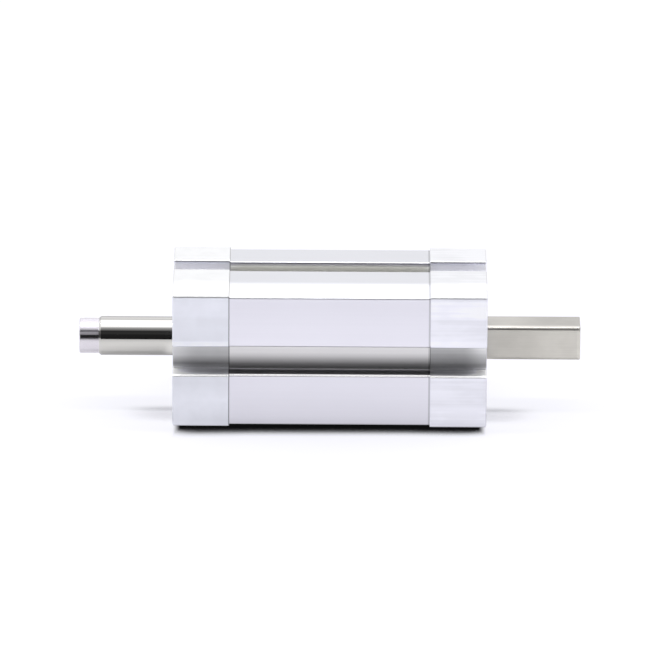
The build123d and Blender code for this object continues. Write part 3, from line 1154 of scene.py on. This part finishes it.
class SetStage(bpy.types.Operator):
    """Sets the floor, the light and the camera."""

    bl_idname = "cylinder.stage"
    bl_label = "Stage"

    def floor(self, studio):
        """A plane under the part. Its contact shadow is ambient occlusion of a short reach. The
        camera sees a part of it as even white, and metal sees it paler than it is."""
        corners = np.array([(-1, -1), (1, -1), (1, 1), (-1, 1)]) * FLOOR_HALF
        points = np.column_stack([corners, np.full(4, FLOOR_Z)])
        mesh = bpy.data.meshes.new("floor")
        mesh.from_pydata(points.tolist(), [], [(0, 1, 2, 3)])
        material = bpy.data.materials.new("floor")
        material.use_nodes = True
        material.node_tree.nodes.clear()
        graph = Graph(material.node_tree)
        ray = graph.add("ShaderNodeLightPath").outputs
        camera = ray["Is Camera Ray"]
        x, y, _ = graph.axes(graph.add("ShaderNodeTexCoord").outputs["Object"])
        away_x = graph.maths("ABSOLUTE", x)
        left_reach, right_reach = studio.contact_reach * 1.1, studio.contact_reach * 0.9
        reach = graph.span(x, -FACE_X, FACE_X, left_reach, right_reach, smooth=False)
        near = graph.add("ShaderNodeAmbientOcclusion", {"Distance": reach})
        depth = graph.span(y, -5 * MM, 5 * MM, studio.contact_depth, CONTACT_BACK)
        contact = graph.maths(
            "MAXIMUM",
            graph.span(near.outputs["AO"], 0.7, 1.0, depth, 1),
            graph.span(away_x, FACE_X - 2.1 * MM, FACE_X + 0.1 * MM),
        )
        lifted = graph.maths("MULTIPLY", contact, studio.floor_lift * studio.floor_shade)
        shade = graph.span(camera, 0, 1, studio.floor_shade, lifted, smooth=False)
        under_rods = graph.product(
            graph.within(y, *SHADOW_Y, 5.5 * MM),
            graph.span(away_x, FACE_X + SHADOW_X[0], FACE_X + SHADOW_X[1], 1, 0.1),
        )
        seen_by_camera = graph.product(
            camera,
            graph.span(y, -22 * MM, -17 * MM, EVEN_NEAR, EVEN_FAR),
            graph.span(under_rods, 0, 1, 1, EVEN_UNDER_RODS),
        )
        beside = graph.product(
            graph.span(away_x, FACE_X, FACE_X + 4 * MM), graph.span(y, 0, 15 * MM, 1, 0)
        )
        seen_in_metal = graph.product(
            ray["Is Glossy Ray"],
            graph.span(ray["Diffuse Depth"], 0, 1, 1, 0),
            graph.span(beside, 0, 1, studio.floor_evenness, studio.side_evenness),
        )
        white = graph.span(camera, 0, 1, studio.floor_white, contact, smooth=False)
        blue = graph.span(camera, 0, 1, 1, studio.floor_blue, smooth=False)
        tint = graph.add("ShaderNodeCombineXYZ", {0: 1.0, 1: 1.0, 2: blue}).outputs[0]
        shaded = graph.add("ShaderNodeVectorMath", {0: tint, "Scale": shade}, operation="SCALE")
        mix = graph.add(
            "ShaderNodeMixShader",
            {
                0: graph.maths("ADD", seen_by_camera, seen_in_metal),
                1: graph.add("ShaderNodeBsdfDiffuse", {"Color": shaded.outputs[0]}).outputs[0],
                2: graph.add("ShaderNodeEmission", {"Color": tint, "Strength": white}).outputs[0],
            },
        )
        graph.add("ShaderNodeOutputMaterial", {"Surface": mix.outputs[0]})
        mesh.materials.append(material)
        floor = bpy.data.objects.new("floor", mesh)
        bpy.context.scene.collection.objects.link(floor)

    def world(self, studio):
        """Light by direction: a soft light overhead, a pale backdrop, and a dark room in front.

        With x to the right, y to the back and z the sine of the height above the horizon, the
        backdrop fades to the dark room where y is negative. The overhead light lies where
        lean = y / z is in BOX_LEAN, which is up to 42 degrees behind the zenith. Metal also
        shows a bright strip in it, a glow in front of it, and a room that is lighter at the
        sides. The camera sees plain white."""
        world = bpy.data.worlds.new("studio")
        bpy.context.scene.world = world
        world.use_nodes = True
        world.node_tree.nodes.clear()
        graph = Graph(world.node_tree)
        direction = graph.add("ShaderNodeTexCoord").outputs["Generated"]
        x, y, z = graph.axes(direction)
        lean = graph.maths("DIVIDE", y, graph.maths("MAXIMUM", z, 0.05))
        ray = graph.add("ShaderNodeLightPath").outputs
        metal = graph.span(ray["Diffuse Depth"], 0, 1, 1, 0)
        high = graph.span(z, 0.3, 0.5)

        def part(start, full, fall, end):
            """The part of the overhead light between two leans."""
            return graph.product(
                graph.span(lean, start, full), graph.span(lean, fall, end, 1, 0), high
            )

        box = part(*BOX_LEAN)
        strip = graph.product(part(*STRIP_LEAN), metal)
        glow = graph.product(
            graph.levels(lean, GLOW), graph.span(lean, 0.0, 0.05, 1, 0), high, metal
        )
        back = graph.span(z, 0.0, 0.3, studio.horizon, studio.backdrop)
        beside = graph.product(metal, graph.span(graph.maths("ABSOLUTE", x), 0.4, 0.65))
        front = graph.span(beside, 0, 1, ROOM_FRONT, ROOM_SIDES)
        room = graph.maths("MULTIPLY", graph.span(y, 0.0, 0.4, front, 1), back)
        lit = graph.product(room, graph.maths("SUBTRACT", 1.0, graph.maths("MAXIMUM", box, glow)))
        for mask, level in ((box, studio.softbox), (strip, studio.strip), (glow, studio.glow)):
            lit = graph.maths("ADD", lit, graph.maths("MULTIPLY", mask, level))
        lit = graph.span(ray["Is Camera Ray"], 0, 1, lit, 1)
        background = graph.add("ShaderNodeBackground", {"Strength": lit, "Color": (1, 1, 1, 1)})
        graph.add("ShaderNodeOutputWorld", {"Surface": background.outputs[0]})
        world.cycles.sampling_method = "MANUAL"
        world.cycles.sample_map_resolution = 1024

    def camera(self, studio):
        """A long lens at the photograph's angle, with the middle of the rod axis at AXIS_PIXEL."""
        data = bpy.data.cameras.new("camera")
        data.sensor_width = 36.0
        data.lens = data.sensor_width * PIXELS_A_METRE * studio.distance / PICTURE
        data.clip_start = studio.distance / 100
        data.clip_end = studio.distance * 10
        back = Vector((0, -math.cos(studio.elevation), math.sin(studio.elevation)))
        turn = (-back).to_track_quat("-Z", "Y").to_matrix()
        turn = turn @ Matrix.Rotation(studio.roll, 3, "Z")
        offset = (Vector((PICTURE / 2, PICTURE / 2)) - Vector(AXIS_PIXEL)) / PIXELS_A_METRE
        aim = turn @ Vector((offset.x, -offset.y, 0))
        camera = bpy.data.objects.new("camera", data)
        camera.matrix_world = Matrix.Translation(aim + back * studio.distance) @ turn.to_4x4()
        bpy.context.scene.collection.objects.link(camera)
        bpy.context.scene.camera = camera

    def execute(self, context):
        studio = context.scene.cylinder_studio
        self.floor(studio)
        self.world(studio)
        self.camera(studio)
        context.scene.view_settings.view_transform = "Standard"
        return {"FINISHED"}


OPERATORS = (
    FinishBarrel,
    FinishCaps,
    FinishRods,
    FinishInside,
    FinishScrews,
    MakeThreads,
    SetStage,
)


class CylinderPanel(bpy.types.Panel):
    """Lists the sizes and colours, and the steps that use them."""

    bl_idname = "VIEW3D_PT_cylinder"
    bl_label = "Double rod cylinder"
    bl_space_type = "VIEW_3D"
    bl_region_type = "UI"
    bl_category = "Cylinder"

    def draw(self, context):
        layout = self.layout
        for key, group in GROUPS.items():
            box = layout.box()
            settings = getattr(context.scene, key)
            for name in group.__annotations__:
                box.prop(settings, name)
        for operator in OPERATORS:
            layout.operator(operator.bl_idname)


def register():
    """Adds the classes, and a property group for each to the scene."""
    for group in (*GROUPS.values(), *OPERATORS, CylinderPanel):
        bpy.utils.register_class(group)
    for key, group in GROUPS.items():
        setattr(bpy.types.Scene, key, PointerProperty(type=group))


def unregister():
    """Takes away what register adds."""
    for key in GROUPS:
        delattr(bpy.types.Scene, key)
    for group in (CylinderPanel, *OPERATORS, *GROUPS.values()):
        bpy.utils.unregister_class(group)


def main():
    """Runs the operators in order."""
    register()
    bpy.ops.cylinder.barrel()
    bpy.ops.cylinder.caps()
    bpy.ops.cylinder.rods()
    bpy.ops.cylinder.inside()
    bpy.ops.cylinder.screws()
    bpy.ops.cylinder.threads()
    bpy.ops.cylinder.stage()


if __name__ == "__main__":
    main()
